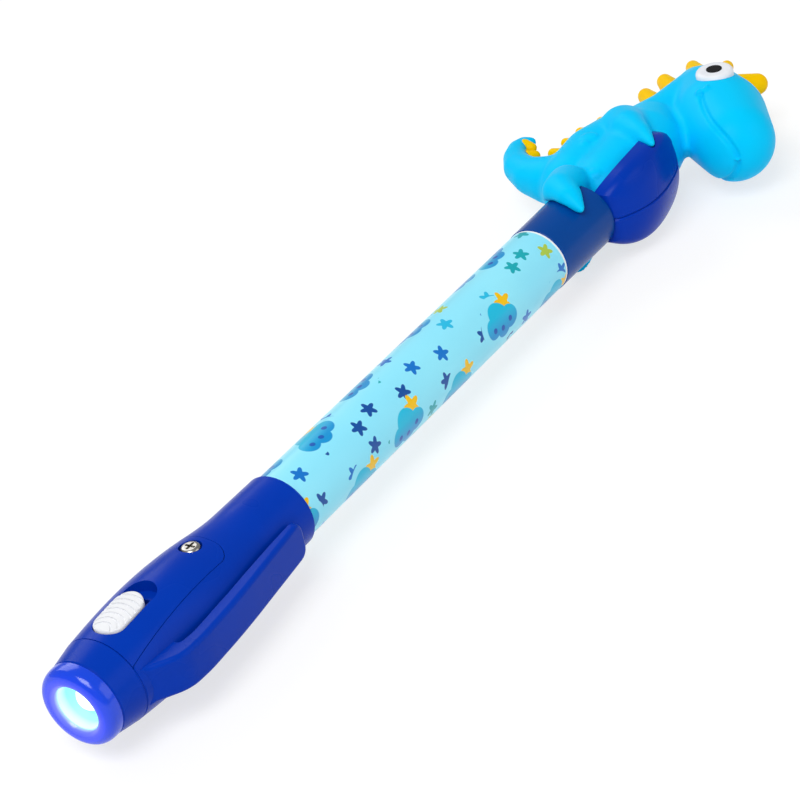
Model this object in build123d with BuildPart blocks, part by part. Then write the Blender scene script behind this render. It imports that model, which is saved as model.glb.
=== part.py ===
"""Invisible ink pen with an ultraviolet torch in its cap and a dinosaur on its tail, in millimetres.

The pen lies on its flank. X runs along its axis from the lamp to the topper, Y points to the
dinosaur's back and Z up, out of the battery door. The origin is on the axis, midway along the
printed barrel.
"""

import os
from math import sqrt

from build123d import *

os.makedirs("parts", exist_ok=True)

# Barrel, its printed film and what it holds
BARREL_D = 12.0
FILM_WALL = 0.2
TUBE_WALL = 1.1
GRIP_LENGTH = 78.0
SPIGOT_LENGTH = 10.0
RESERVOIR_GAP = 0.25

# Nose of the pen, under the cap
PLUG_D = 10.7
PLUG_LENGTH = 7.0
CONE_LENGTH = 4.0
CONE_BASE_D = 7.2
CONE_TIP_D = 3.4
NIB_D = 2.0
NIB_REACH = 3.2
NIB_TIP_R = 0.9

# Torch cap, as diameters along its length and distances from its mouth
CAP_LENGTH = 44.7
MOUTH_D = 13.0
NECK_D = 13.2
NECK_FROM_MOUTH = 9.5
SHOULDER_D = 15.0
SHOULDER_FROM_MOUTH = 19.0
BELLY_D = 16.5
BELLY_FROM_MOUTH = 30.0
SEAM_D = 14.9
CAP_WALL = 1.3
SOCKET_DEPTH = 18.6
BULKHEAD = 5.4

# Lamp end
COLLAR_LENGTH = 4.7
NOSE_D = 13.4
BEZEL_LENGTH = 2.8
BEZEL_LIP = 0.9
APERTURE_D = 7.5
BEZEL_SPIGOT_D = 10.4
BEZEL_SPIGOT_LENGTH = 2.0
CUP_DEPTH = 3.4
CUP_WALL = 0.5
BOWL_R = 6.0
LAMP_BORE_D = 9.2
COLLAR_SPIGOT_LENGTH = 4.0
LED_D = 5.0
LED_FLANGE_D = 5.8
LED_FLANGE = 1.0
LED_LENGTH = 8.6
LED_HOLE_GAP = 0.15
LEAD_D = 0.5
LEAD_PITCH = 2.54
BOARD = 1.0

# Cells and contacts
CELL_D = 7.9
CELL_HEIGHT = 3.6
CELL_CAP_D = 6.4
CELL_CAP_HEIGHT = 0.4
CELL_COUNT = 3
CELL_GAP = 0.1
RIB_WALL = 1.0
STRIP = 0.25
STRIP_WIDTH = 3.0
STRIP_ABOVE_CELLS = 0.35

# Battery door and its screw
DOOR_FRONT_WIDTH = 12.4
DOOR_REAR_WIDTH = 10.0
DOOR_CORNER_R = 2.6
DOOR_TIP_FROM_MOUTH = 18.2
DOOR_EDGE_Z = 2.6
DOOR_GAP = 0.08
SCREW_FROM_MOUTH = 21.0
SCREW_HEAD_D = 3.2
SCREW_HEAD = 1.0
SCREW_DOME_R = 0.6
SCREW_SINK = 0.75
SCREW_D = 1.8
SCREW_LENGTH = 5.2
SCREW_END_GAP = 0.4
SCREW_SLOT_D = 0.45
SCREW_SLOT_LENGTH = 1.9
SCREW_SLOT_DEPTH = 0.55
HEAD_GAP = 0.25

# Slide switch
BUTTON_LENGTH = 9.2
BUTTON_WIDTH = 5.2
BUTTON_PROUD = 0.5
BUTTON_EDGE_R = 0.4
BUTTON_RIBS = 7
BUTTON_RIB_PITCH = 1.05
BUTTON_GROOVE = 0.4
BUTTON_GROOVE_DEPTH = 0.2
SWITCH_TRAVEL = 3.0
SWITCH_GAP = 0.15
SLOT_FROM_SEAM = 1.3
POCKET_FLOOR = 1.0
POCKET_RIM = 0.8
STEM_LENGTH = 4.0
STEM_SET_BACK = 0.6
STEM_WIDTH = 1.9
WIPER_LENGTH = 5.1
WIPER_WIDTH = 3.4
WIPER_LIFT = 0.1
WIPER_GAP = 0.4

# Pocket clip
CLIP_WIDTH = 5.8
CLIP_ROOT_REACH = 11.5
CLIP_ROOT_FROM_SEAM = 9.4
CLIP_GAP_FROM_SEAM = 8.0
CLIP_TIP_REACH = 8.8
CLIP_TIP_FROM_MOUTH = 4.6
CLIP_WALL = 1.9
CLIP_EDGE_R = 0.7
CLIP_TIP_R = 2.0

# Tail ferrule
FERRULE_LENGTH = 16.2
FERRULE_D = 12.2
FERRULE_TOP_D = 12.4
PEG_D = 5.0
PEG_LENGTH = 14.0

# Blue shell held against the figure's belly: how far its keel hangs below the axis, and its outline
SHELL_LENGTH = 22.0
SHELL_KEEL = 10.0
SHELL_WIDTH = 15.6
SHELL_FACE_R = 14.0
SHELL_RIM = 3.0
SHELL_EDGE_R = 2.4
SHELL_SEAM = 0.3
# Along the shell, its keel and its width, as shares of the three sizes above
SHELL_STATIONS = (
    (0.0, 0.64, 0.6),
    (0.16, 0.88, 0.87),
    (0.4, 1.0, 1.0),
    (0.71, 0.92, 0.97),
    (0.9, 0.8, 0.86),
    (1.0, 0.7, 0.7),
)
# A round lobe on each half, above the face
LOBE_STATIONS = ((14.0, -4.6, 3.2, 2.6), (20.8, -4.3, 3.4, 2.3))

# Dinosaur: chains of round sections as along from the ferrule, across, up and radius.
# Torso, neck, head and tail lie in its middle plane, and the near limbs are mirrored
BACK_STATIONS = ((9.5, 7.2, 0.0, 6.5), (17.5, 7.2, 0.0, 7.1), (27.0, 6.2, 0.0, 6.1))
BELLY_STATIONS = (
    (9.5, 0.5, 0.0, 7.2),
    (18.0, 0.5, 0.0, 7.7),
    (25.0, 1.5, 0.0, 7.2),
    (30.0, 3.0, 0.0, 5.9),
)
NECK_STATIONS = ((27.0, 5.6, 0.0, 5.5), (35.8, 3.0, 0.0, 5.1), (44.8, 0.5, 0.0, 5.9))
HEAD_STATIONS = (
    (31.2, -13.4, 0.0, 7.4),
    (37.8, -7.0, 0.0, 8.7),
    (43.3, -2.0, 0.0, 7.2),
    (47.3, 2.2, 0.0, 4.8),
)
TAIL_STATIONS = (
    (12.0, 7.0, 0.0, 5.4),
    (10.1, 13.0, 0.0, 4.4),
    (10.6, 17.3, 0.0, 3.5),
    (12.8, 21.2, 0.0, 2.9),
    (15.9, 23.9, 0.0, 2.3),
    (19.1, 25.4, 0.0, 1.8),
    (21.4, 25.3, 0.0, 1.4),
    (22.2, 24.2, 0.0, 1.1),
)
ARM_STATIONS = (
    (23.0, 4.0, 4.1, 4.9),
    (20.3, 1.2, 6.4, 3.5),
    (17.2, -3.2, 7.5, 2.0),
    (14.2, -7.0, 7.6, 0.8),
)
LEG_STATIONS = (
    (2.0, 3.6, 4.2, 4.0),
    (-2.7, 2.0, 6.0, 3.4),
    (-5.2, -1.2, 6.6, 2.4),
    (-7.1, -4.6, 5.8, 0.8),
)
# Each link of a chain starts from a slightly smaller ball than the last one ended on
LINK_SINK = 0.03

# Spikes as along, across, heading in degrees, height from there and base radius, with blunt tips
SPIKE_TIP = 0.66
SPIKES = (
    (19.2, 13.6, 90.0, 5.1, 1.5),
    (23.4, 13.4, 90.0, 5.0, 1.4),
    (27.7, 12.4, 90.0, 5.4, 1.4),
    (32.2, 10.6, 88.0, 5.4, 1.4),
    (39.8, 7.1, 52.0, 7.3, 2.3),
    (45.7, 6.5, 50.0, 7.3, 2.3),
    (53.0, 5.6, 44.0, 5.4, 2.1),
    (53.6, 1.0, 14.0, 5.2, 1.9),
    (49.2, -4.7, -38.0, 5.9, 3.0),
    (20.2, 24.6, -90.0, 2.6, 1.5),
    (17.9, 23.4, -90.0, 1.6, 1.0),
    (16.0, 22.3, -43.0, 3.3, 1.5),
)

# Eyes, raised off the flanks of the head
EYE_ALONG = 39.9
EYE_ACROSS = -6.0
EYE_D = 6.9
EYE_TOP_Z = 9.2
EYE_ROOT_Z = 5.0
EYE_EDGE_R = 0.8
PUPIL_D = 2.9
PUPIL_DEPTH = 0.35
PUPIL_RISE = 0.1

# Fits and edges
FIT = 0.05
PRESS = 0.02
SEAM_CHAMFER = 0.2

# Stations along the axis
x_mouth = -GRIP_LENGTH / 2
x_tail = GRIP_LENGTH / 2
x_seam = x_mouth - CAP_LENGTH
x_nose = x_seam - COLLAR_LENGTH
x_front = x_nose - BEZEL_LENGTH
x_socket_end = x_mouth - SOCKET_DEPTH
x_bay_rear = x_socket_end - BULKHEAD
x_screw = x_mouth - SCREW_FROM_MOUTH
x_ferrule_top = x_tail + FERRULE_LENGTH

head_seat_z = SHOULDER_D / 2 - SCREW_SINK
button_top_z = BELLY_D / 2 + BUTTON_PROUD
strip_z = (CELL_D + STRIP) / 2 + STRIP_ABOVE_CELLS
wiper_z = strip_z + STRIP / 2 + WIPER_LIFT
pocket_under_z = wiper_z + STRIP + WIPER_GAP
pocket_floor_z = pocket_under_z + POCKET_FLOOR

barrel_r = BARREL_D / 2
tube_r = barrel_r - FILM_WALL
bore_r = tube_r - TUBE_WALL
socket_r = PLUG_D / 2 + FIT


def round_rod(x_from, x_to, radius):
    """A plain round rod on the pen's axis."""
    with BuildPart() as rod:
        with BuildSketch(Plane.YZ.offset(x_from)):
            Circle(radius)
        extrude(amount=x_to - x_from)
    return rod.part


def torch_section(inset):
    """Half section of the cap's outer form, drawn in by inset, from the collar seam to the mouth."""
    with BuildSketch() as section:
        with BuildLine():
            flank = Spline(
                (x_seam, SEAM_D / 2 - inset),
                (x_mouth - BELLY_FROM_MOUTH, BELLY_D / 2 - inset),
                (x_mouth - SHOULDER_FROM_MOUTH, SHOULDER_D / 2 - inset),
                (x_mouth - NECK_FROM_MOUTH, NECK_D / 2 - inset),
                tangents=((1.0, 0.1), (1.0, 0.0)),
            )
            Polyline(
                flank @ 1,
                (x_mouth, MOUTH_D / 2 - inset),
                (x_mouth, 0),
                (x_seam, 0),
                flank @ 0,
            )
        make_face()
    return section.sketch


def door_plan(margin):
    """The door as seen from above: a tongue that narrows towards the screw, with round corners."""
    x_tip = x_mouth - DOOR_TIP_FROM_MOUTH
    with BuildSketch() as plan:
        with BuildLine():
            Polyline(
                (x_seam, -DOOR_FRONT_WIDTH / 2 - margin),
                (x_tip + margin, -DOOR_REAR_WIDTH / 2 - margin),
                (x_tip + margin, DOOR_REAR_WIDTH / 2 + margin),
                (x_seam, DOOR_FRONT_WIDTH / 2 + margin),
                close=True,
            )
        make_face()
        fillet(plan.vertices().group_by(Axis.X)[-1], DOOR_CORNER_R + margin)
    return plan.sketch


# Pen: tube, film, nose, nib, reservoir and tail ferrule
with BuildPart() as barrel_tube:
    with BuildSketch(Plane.YZ.offset(x_mouth)):
        Circle(tube_r)
        Circle(bore_r, mode=Mode.SUBTRACT)
    extrude(amount=GRIP_LENGTH)
barrel_tube.part.label = "barrel_tube"
export_step(barrel_tube.part, "parts/barrel_tube.step")

with BuildPart() as printed_sleeve:
    with BuildSketch(Plane.YZ.offset(x_mouth)):
        Circle(barrel_r)
        Circle(tube_r, mode=Mode.SUBTRACT)
    extrude(amount=GRIP_LENGTH)
printed_sleeve.part.label = "printed_sleeve"
export_step(printed_sleeve.part, "parts/printed_sleeve.step")

x_plug_front = x_mouth - PLUG_LENGTH
x_cone_tip = x_plug_front - CONE_LENGTH
x_spigot_end = x_mouth + SPIGOT_LENGTH
nib_r = NIB_D / 2
with BuildPart() as nib_section:
    with BuildSketch():
        with BuildLine():
            Polyline(
                (x_cone_tip, nib_r),
                (x_cone_tip, CONE_TIP_D / 2),
                (x_plug_front, CONE_BASE_D / 2),
                (x_plug_front, PLUG_D / 2 - SEAM_CHAMFER),
                (x_plug_front + SEAM_CHAMFER, PLUG_D / 2),
                (x_mouth, PLUG_D / 2),
                (x_mouth, bore_r - PRESS),
                (x_spigot_end, bore_r - PRESS),
                (x_spigot_end, nib_r),
                close=True,
            )
        make_face()
    revolve(axis=Axis.X)
nib_section.part.label = "nib_section"
export_step(nib_section.part, "parts/nib_section.step")

with BuildPart() as felt_nib:
    add(round_rod(x_cone_tip - NIB_REACH, x_spigot_end, nib_r))
    fillet(felt_nib.edges().group_by(Axis.X)[0], NIB_TIP_R)
felt_nib.part.label = "felt_nib"
export_step(felt_nib.part, "parts/felt_nib.step")

x_tail_spigot = x_tail - SPIGOT_LENGTH
with BuildPart() as ink_reservoir:
    add(round_rod(x_spigot_end, x_tail_spigot, bore_r - RESERVOIR_GAP))
ink_reservoir.part.label = "ink_reservoir"
export_step(ink_reservoir.part, "parts/ink_reservoir.step")

x_peg_end = x_ferrule_top + PEG_LENGTH
with BuildPart() as tail_ferrule:
    with BuildSketch():
        with BuildLine():
            Polyline(
                (x_tail_spigot, 0),
                (x_tail_spigot, bore_r - PRESS),
                (x_tail, bore_r - PRESS),
                (x_tail, FERRULE_D / 2),
                (x_ferrule_top, FERRULE_TOP_D / 2),
                (x_ferrule_top, PEG_D / 2),
                (x_peg_end, PEG_D / 2),
                (x_peg_end, 0),
                close=True,
            )
        make_face()
    revolve(axis=Axis.X)
    rims = tail_ferrule.edges().filter_by(GeomType.CIRCLE)
    chamfer(rims.sort_by(SortBy.RADIUS)[-2:], SEAM_CHAMFER)
tail_ferrule.part.label = "tail_ferrule"
export_step(tail_ferrule.part, "parts/tail_ferrule.step")

# Torch: hollow tools first, then the cap body
cell_r = CELL_D / 2
lamp_bore_r = LAMP_BORE_D / 2
x_collar_end = x_seam + COLLAR_SPIGOT_LENGTH
x_board_front = x_collar_end - BOARD
x_cells_front = x_collar_end + STRIP
x_cells_rear = x_cells_front + CELL_COUNT * CELL_HEIGHT

with BuildPart() as battery_bay:
    revolve(torch_section(CAP_WALL), axis=Axis.X)
    with BuildSketch(Plane.YZ.offset(x_bay_rear)):
        Circle(BELLY_D)
    extrude(amount=x_seam - x_bay_rear, mode=Mode.INTERSECT)
    for step in range(CELL_COUNT):
        x_rib = x_cells_front + (step + 0.5) * CELL_HEIGHT - RIB_WALL / 2
        with BuildSketch(Plane.YZ.offset(x_rib)):
            Rectangle(2 * BELLY_D, BELLY_D, align=(Align.CENTER, Align.MAX))
            Circle(cell_r + CELL_GAP, mode=Mode.SUBTRACT)
        extrude(amount=RIB_WALL, mode=Mode.SUBTRACT)

with BuildPart() as door_recess:
    with BuildSketch(Plane.XY.offset(DOOR_EDGE_Z - DOOR_GAP)):
        add(door_plan(DOOR_GAP))
    extrude(amount=BELLY_D)
    revolve(torch_section(CAP_WALL + DOOR_GAP), axis=Axis.X, mode=Mode.SUBTRACT)

with BuildPart() as cap_body:
    revolve(torch_section(0), axis=Axis.X)
    mouth_rims = cap_body.edges().filter_by(GeomType.CIRCLE).group_by(Axis.X)
    chamfer(mouth_rims[0] + mouth_rims[-1], SEAM_CHAMFER)
    # The clip is drawn from the side, given its width and rounded off
    with BuildSketch() as clip_side:
        with BuildLine():
            x_root = x_seam + CLIP_ROOT_FROM_SEAM
            x_gap = x_seam + CLIP_GAP_FROM_SEAM
            x_tip = x_mouth - CLIP_TIP_FROM_MOUTH
            clip_slope = (CLIP_ROOT_REACH - CLIP_TIP_REACH) / (x_tip - x_root)
            sweep_out = Spline(
                (x_seam + SEAM_CHAMFER, CAP_WALL - SEAM_D / 2),
                (x_root, -CLIP_ROOT_REACH),
                tangents=((1.0, -0.75), (1.0, clip_slope)),
            )
            Polyline(
                sweep_out @ 1,
                (x_tip, -CLIP_TIP_REACH),
                (x_tip, CLIP_WALL - CLIP_TIP_REACH),
                (x_gap, CLIP_WALL - CLIP_ROOT_REACH - clip_slope * (x_root - x_gap)),
                (x_gap, CAP_WALL - SEAM_D / 2),
                sweep_out @ 0,
            )
        make_face()
    clip = extrude(amount=CLIP_WIDTH / 2, both=True, mode=Mode.PRIVATE)
    tip_corners = clip.edges().filter_by(Axis.Z, reverse=True).group_by(Axis.X)[-1]
    tip_uprights = [edge for edge in tip_corners if abs(edge.center().Z) > CLIP_WIDTH / 4]
    clip = clip.fillet(CLIP_TIP_R, tip_uprights)
    outer_face = clip.faces().filter_by(Axis.Z, reverse=True).sort_by(SortBy.AREA)[-1]
    face_rim = outer_face.outer_wire().edges()
    clip = clip.fillet(CLIP_EDGE_R, face_rim.filter_by(lambda edge: edge.length > CLIP_WIDTH))
    add(clip)
    with BuildSketch(Plane.YZ.offset(x_mouth)):
        Circle(socket_r)
    extrude(amount=-SOCKET_DEPTH, mode=Mode.SUBTRACT)
    add(battery_bay.part, mode=Mode.SUBTRACT)
    add(door_recess.part, mode=Mode.SUBTRACT)
    with Locations((x_screw, 0, head_seat_z)):
        Hole(SCREW_D / 2 + FIT, depth=SCREW_LENGTH + SCREW_END_GAP)
cap_body.part.label = "cap_body"
export_step(cap_body.part, "parts/cap_body.step")

# Lamp end: collar, bezel, reflector cup, lamp, board and front contact
collar_spigot_r = SEAM_D / 2 - CAP_WALL - CELL_GAP
bezel_spigot_r = BEZEL_SPIGOT_D / 2
switch_flat_z = pocket_under_z - SWITCH_GAP
with BuildPart() as front_collar:
    with BuildSketch():
        with BuildLine():
            Polyline(
                (x_nose, bezel_spigot_r + PRESS),
                (x_nose, NOSE_D / 2 - SEAM_CHAMFER),
                (x_nose + SEAM_CHAMFER, NOSE_D / 2),
                (x_seam - SEAM_CHAMFER, SEAM_D / 2),
                (x_seam, SEAM_D / 2 - SEAM_CHAMFER),
                (x_seam, collar_spigot_r),
                (x_collar_end, collar_spigot_r),
                (x_collar_end, lamp_bore_r),
                (x_nose + BEZEL_SPIGOT_LENGTH, lamp_bore_r),
                (x_nose + BEZEL_SPIGOT_LENGTH, bezel_spigot_r + PRESS),
                close=True,
            )
        make_face()
    revolve(axis=Axis.X)
    # A flat on the spigot leaves room for the switch pocket
    with BuildSketch(Plane.YZ.offset(x_seam)):
        with Locations((0, switch_flat_z)):
            Rectangle(SEAM_D, SEAM_D, align=(Align.CENTER, Align.MIN))
    extrude(amount=COLLAR_SPIGOT_LENGTH, mode=Mode.SUBTRACT)
front_collar.part.label = "front_collar"
export_step(front_collar.part, "parts/front_collar.step")

cup_mouth_r = APERTURE_D / 2
cup_back_r = LED_D / 2 + LED_HOLE_GAP
cup_bore = cup_mouth_r + CUP_WALL + PRESS
x_cup_front = x_front + BEZEL_LIP
x_cup_back = x_cup_front + CUP_DEPTH
with BuildPart() as reflector_cup:
    with BuildSketch():
        with BuildLine():
            bowl = RadiusArc((x_cup_front, cup_mouth_r), (x_cup_back, cup_back_r), BOWL_R)
            Polyline(
                bowl @ 1,
                (x_cup_back, cup_mouth_r + CUP_WALL),
                (x_cup_front, cup_mouth_r + CUP_WALL),
                bowl @ 0,
            )
        make_face()
    revolve(axis=Axis.X)
reflector_cup.part.label = "reflector_cup"
export_step(reflector_cup.part, "parts/reflector_cup.step")

with BuildPart() as lens_bezel:
    with BuildSketch():
        with BuildLine():
            brow = Spline(
                (x_nose - SEAM_CHAMFER, NOSE_D / 2),
                (x_front, (NOSE_D / 2 + cup_mouth_r) / 2),
                (x_cup_front - SEAM_CHAMFER, cup_mouth_r),
                tangents=((-1.0, 0.05), (1.0, -0.4)),
            )
            Polyline(
                brow @ 1,
                (x_cup_front, cup_mouth_r),
                (x_cup_front, cup_bore),
                (x_nose + BEZEL_SPIGOT_LENGTH, cup_bore),
                (x_nose + BEZEL_SPIGOT_LENGTH, bezel_spigot_r),
                (x_nose, bezel_spigot_r),
                (x_nose, NOSE_D / 2 - SEAM_CHAMFER),
                brow @ 0,
            )
        make_face()
    revolve(axis=Axis.X)
lens_bezel.part.label = "lens_bezel"
export_step(lens_bezel.part, "parts/lens_bezel.step")

led_r = LED_D / 2
x_led_tip = x_board_front - LED_LENGTH
with BuildPart() as uv_led:
    with BuildSketch():
        with BuildLine():
            dome = RadiusArc((x_led_tip, 0), (x_led_tip + led_r, led_r), led_r)
            Polyline(
                dome @ 1,
                (x_board_front - LED_FLANGE, led_r),
                (x_board_front - LED_FLANGE, LED_FLANGE_D / 2),
                (x_board_front, LED_FLANGE_D / 2),
                (x_board_front, 0),
                dome @ 0,
            )
        make_face()
    revolve(axis=Axis.X)
    with BuildSketch(Plane.YZ.offset(x_board_front)):
        with GridLocations(LEAD_PITCH, 0, 2, 1):
            Circle(LEAD_D / 2)
    extrude(amount=BOARD)
uv_led.part.label = "uv_led"
export_step(uv_led.part, "parts/uv_led.step")

with BuildPart() as led_board:
    with BuildSketch(Plane.YZ.offset(x_board_front)):
        Circle(lamp_bore_r - FIT)
        with GridLocations(LEAD_PITCH, 0, 2, 1):
            Circle(LEAD_D / 2 + PRESS, mode=Mode.SUBTRACT)
    extrude(amount=BOARD)
led_board.part.label = "led_board"
export_step(led_board.part, "parts/led_board.step")

# Cells in a row, from the board's contact plate to the bent rear contact
x_button_start = x_seam + SLOT_FROM_SEAM + SWITCH_GAP
x_button = x_button_start + BUTTON_LENGTH / 2
x_stem = x_button + STEM_SET_BACK
with BuildPart() as front_contact:
    with BuildSketch(Plane.YZ.offset(x_collar_end)):
        Circle(CELL_CAP_D / 2)
        with Locations((0, strip_z + STRIP / 2)):
            Rectangle(STRIP_WIDTH, strip_z, align=(Align.CENTER, Align.MAX))
    extrude(amount=STRIP)
front_contact.part.label = "front_contact"
export_step(front_contact.part, "parts/front_contact.step")

with BuildPart() as button_cells:
    with BuildSketch():
        with BuildLine():
            Polyline(
                (x_cells_front, 0),
                (x_cells_front, CELL_CAP_D / 2),
                (x_cells_front + CELL_CAP_HEIGHT, CELL_CAP_D / 2),
                (x_cells_front + CELL_CAP_HEIGHT, cell_r),
                (x_cells_front + CELL_HEIGHT, cell_r),
                (x_cells_front + CELL_HEIGHT, 0),
                close=True,
            )
        make_face()
    revolve(axis=Axis.X)
cells = [Pos(step * CELL_HEIGHT, 0, 0) * button_cells.part for step in range(CELL_COUNT)]
cell_stack = Compound(children=cells)
cell_stack.label = "button_cells"
export_step(cell_stack, "parts/button_cells.step")

x_strip_tip = x_stem - STEM_LENGTH / 2 + STRIP
with BuildPart() as rear_contact:
    with BuildSketch(Plane.XZ):
        with BuildLine():
            FilletPolyline(
                (x_cells_rear + STRIP / 2, -cell_r / 3),
                (x_cells_rear + STRIP / 2, cell_r / 4),
                (x_bay_rear - STRIP / 2, -cell_r),
                (x_bay_rear - STRIP / 2, strip_z),
                (x_strip_tip, strip_z),
                radius=STRIP,
            )
        trace(line_width=STRIP)
    extrude(amount=STRIP_WIDTH / 2, both=True)
rear_contact.part.label = "rear_contact"
export_step(rear_contact.part, "parts/rear_contact.step")

# Battery door, with the sunk pocket that the slide button runs in
slot_length = BUTTON_LENGTH + SWITCH_TRAVEL + 2 * SWITCH_GAP
slot_width = BUTTON_WIDTH + 2 * SWITCH_GAP
x_slot = x_seam + SLOT_FROM_SEAM + slot_length / 2
stem_slot_length = STEM_LENGTH + SWITCH_TRAVEL + 2 * SWITCH_GAP
x_stem_slot = x_stem + SWITCH_TRAVEL / 2
with BuildPart() as cap_skin:
    revolve(torch_section(0), axis=Axis.X)
    revolve(torch_section(CAP_WALL), axis=Axis.X, mode=Mode.SUBTRACT)

with BuildPart() as battery_door:
    with BuildSketch(Plane.XY.offset(pocket_under_z)):
        with Locations((x_slot, 0)):
            SlotOverall(slot_length + 2 * POCKET_RIM, slot_width + 2 * POCKET_RIM)
    extrude(amount=BELLY_D)
    revolve(torch_section(0), axis=Axis.X, mode=Mode.INTERSECT)
    add(cap_skin.part)
    with BuildSketch(Plane.XY.offset(DOOR_EDGE_Z)):
        add(door_plan(0))
    extrude(amount=BELLY_D, mode=Mode.INTERSECT)
    with BuildSketch(Plane.XY.offset(pocket_floor_z)):
        with Locations((x_slot, 0)):
            SlotOverall(slot_length, slot_width)
    extrude(amount=BELLY_D, mode=Mode.SUBTRACT)
    with BuildSketch(Plane.XY.offset(pocket_under_z)):
        with Locations((x_stem_slot, 0)):
            Rectangle(stem_slot_length, STEM_WIDTH + 2 * SWITCH_GAP)
    extrude(amount=POCKET_FLOOR, mode=Mode.SUBTRACT)
    with Locations((x_screw, 0, button_top_z)):
        CounterBoreHole(
            radius=SCREW_D / 2 + FIT,
            counter_bore_radius=SCREW_HEAD_D / 2 + HEAD_GAP,
            counter_bore_depth=button_top_z - head_seat_z,
            depth=button_top_z,
        )
battery_door.part.label = "battery_door"
export_step(battery_door.part, "parts/battery_door.step")

with BuildPart() as door_screw:
    with BuildSketch(Plane.XY.offset(head_seat_z)):
        with Locations((x_screw, 0)):
            Circle(SCREW_HEAD_D / 2)
    extrude(amount=SCREW_HEAD)
    fillet(door_screw.edges().group_by(Axis.Z)[-1], SCREW_DOME_R)
    with BuildSketch(Plane.XY.offset(head_seat_z)):
        with Locations((x_screw, 0)):
            Circle(SCREW_D / 2)
    extrude(amount=-SCREW_LENGTH)
    chamfer(door_screw.edges().group_by(Axis.Z)[0], SCREW_D / 4)
    with BuildSketch(Plane.XY.offset(head_seat_z + SCREW_HEAD)):
        with Locations((x_screw, 0)):
            SlotOverall(SCREW_SLOT_LENGTH, SCREW_SLOT_D)
            SlotOverall(SCREW_SLOT_LENGTH, SCREW_SLOT_D, rotation=90)
    extrude(amount=-SCREW_SLOT_DEPTH, mode=Mode.SUBTRACT)
door_screw.part.label = "door_screw"
export_step(door_screw.part, "parts/door_screw.step")

# Slide button, crowned like the cap, with ribs curved about its front end, and the wiper under its stem
button_foot_z = pocket_floor_z + SWITCH_GAP
with BuildPart() as button_grooves:
    with BuildSketch(Plane.XY.offset(button_foot_z)):
        with Locations((x_button_start, 0)):
            for step in reversed(range(BUTTON_RIBS)):
                groove_r = (step + 1.5) * BUTTON_RIB_PITCH
                Circle(groove_r + BUTTON_GROOVE)
                Circle(groove_r, mode=Mode.SUBTRACT)
    extrude(amount=BELLY_D)
    revolve(torch_section(BUTTON_GROOVE_DEPTH - BUTTON_PROUD), axis=Axis.X, mode=Mode.SUBTRACT)

with BuildPart() as switch_button:
    with BuildSketch(Plane.XY.offset(button_foot_z)):
        with Locations((x_button, 0)):
            SlotOverall(BUTTON_LENGTH, BUTTON_WIDTH)
    extrude(amount=BELLY_D)
    revolve(torch_section(-BUTTON_PROUD), axis=Axis.X, mode=Mode.INTERSECT)
    fillet(switch_button.faces().sort_by(Axis.Z)[-1].edges(), BUTTON_EDGE_R)
    add(button_grooves.part, mode=Mode.SUBTRACT)
    with BuildSketch(Plane.XY.offset(wiper_z + STRIP)):
        with Locations((x_stem, 0)):
            Rectangle(STEM_LENGTH, STEM_WIDTH)
    extrude(amount=button_foot_z - wiper_z - STRIP)
switch_button.part.label = "switch_button"
export_step(switch_button.part, "parts/switch_button.step")

with BuildPart() as switch_wiper:
    with BuildSketch(Plane.XY.offset(wiper_z)):
        with Locations((x_stem, 0)):
            RectangleRounded(WIPER_LENGTH, WIPER_WIDTH, STRIP)
    extrude(amount=STRIP)
switch_wiper.part.label = "switch_wiper"
export_step(switch_wiper.part, "parts/switch_wiper.step")


def taper(start, start_r, end, end_r):
    """A solid of revolution that tapers from one ball to another."""
    reach = (end - start).length
    lean = (start_r - end_r) / reach
    square = sqrt(1 - lean**2)
    heading = (end - start).normalized()
    side = heading.cross(Vector(0, 1, 0) if abs(heading.Z) > 0.9 else Vector(0, 0, 1))
    frame = Plane(start, x_dir=heading, z_dir=side)
    with BuildPart() as form:
        with BuildSketch(frame):
            with BuildLine():
                heel = RadiusArc((-start_r, 0), (start_r * lean, start_r * square), start_r)
                flank = Line(heel @ 1, (reach + end_r * lean, end_r * square))
                toe = RadiusArc(flank @ 1, (reach + end_r, 0), end_r)
                Line(toe @ 1, heel @ 0)
            make_face()
        revolve(axis=Axis(frame.origin, frame.x_dir))
    return form.part


def chain(stations):
    """Tapers that follow one another through the stations of a soft form."""
    balls = [(Vector(along, across, up), r) for along, across, up, r in stations]
    links = [taper(*balls[0], *balls[1])]
    for (start, start_r), (end, end_r) in zip(balls[1:], balls[2:]):
        links.append(taper(start, start_r - LINK_SINK, end, end_r))
    return links


def spike(along, across, heading, height, base_r):
    """A blunt cone on the figure's middle plane, with its root sunk in."""
    root = Vector(along, across, 0)
    tip_r = SPIKE_TIP * base_r
    tip = root + Vector(height - tip_r, 0, 0).rotate(Axis.Z, heading)
    return taper(root, base_r, tip, tip_r)


# Topper, drawn from the ferrule's top: torso, neck, head, tail and limbs are one soft moulding
with BuildPart() as figure_form:
    for stations in (BELLY_STATIONS, BACK_STATIONS, NECK_STATIONS, HEAD_STATIONS, TAIL_STATIONS):
        for link in chain(stations):
            add(link)
    for link in chain(ARM_STATIONS) + chain(LEG_STATIONS):
        add(link)
        mirror(link, about=Plane.XY)
    add(round_rod(-FERRULE_LENGTH, 0, FERRULE_TOP_D / 2 + FIT), mode=Mode.SUBTRACT)
    add(round_rod(0, PEG_LENGTH + FIT, PEG_D / 2 + FIT), mode=Mode.SUBTRACT)

# Spikes stand on the figure, in one row down its middle
with BuildPart() as spikes_form:
    for row in SPIKES:
        add(spike(*row))
    add(figure_form.part, mode=Mode.SUBTRACT)

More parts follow.
